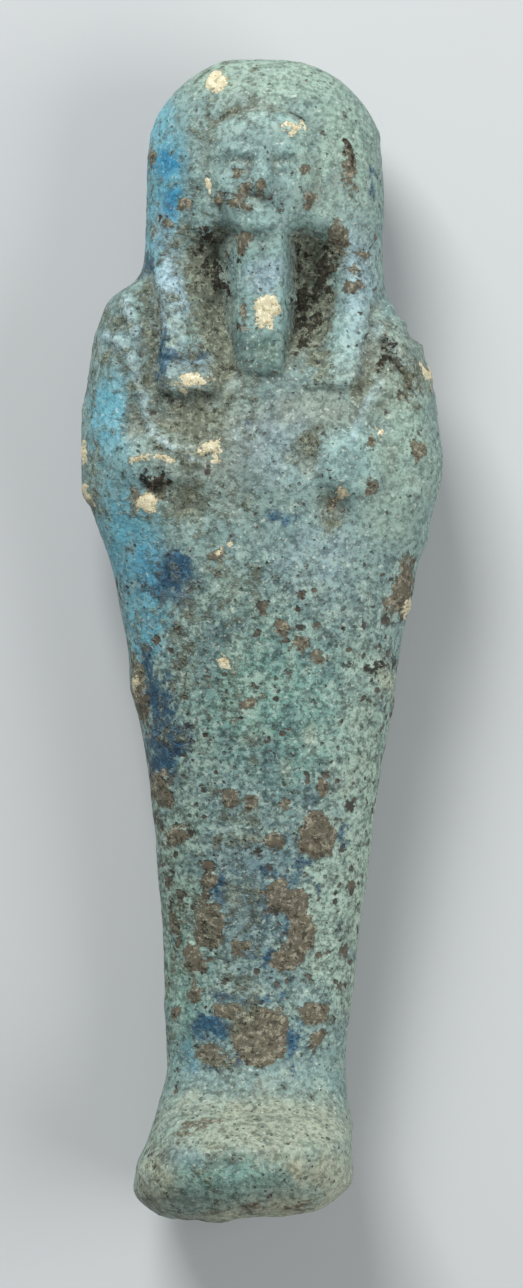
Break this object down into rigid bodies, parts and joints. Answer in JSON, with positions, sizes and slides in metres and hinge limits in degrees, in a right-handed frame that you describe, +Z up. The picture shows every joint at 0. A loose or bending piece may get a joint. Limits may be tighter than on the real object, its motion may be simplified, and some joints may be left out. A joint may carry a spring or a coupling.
{
  "type": "ushabti figurine",
  "caption": "Mummiform funerary figurine of weathered blue-green faience with a tripartite wig, false beard, crossed arms and a back pillar, lying on its back.",
  "frame": {"origin": "On the surface that the back pillar rests on, under the middle of the figurine's bounding box.", "axes": "+Y runs from the soles to the crown, +Z is up and out of the figure's front, and +X is to the right as its front is seen."},
  "size_m": [0.0344, 0.1104, 0.0224],
  "materials": {
    "faience": "weathered matte glaze with soil and chips"
  },
  "bodies": {
    "root": {"figure": "faience"}
  },
  "joints": []
}
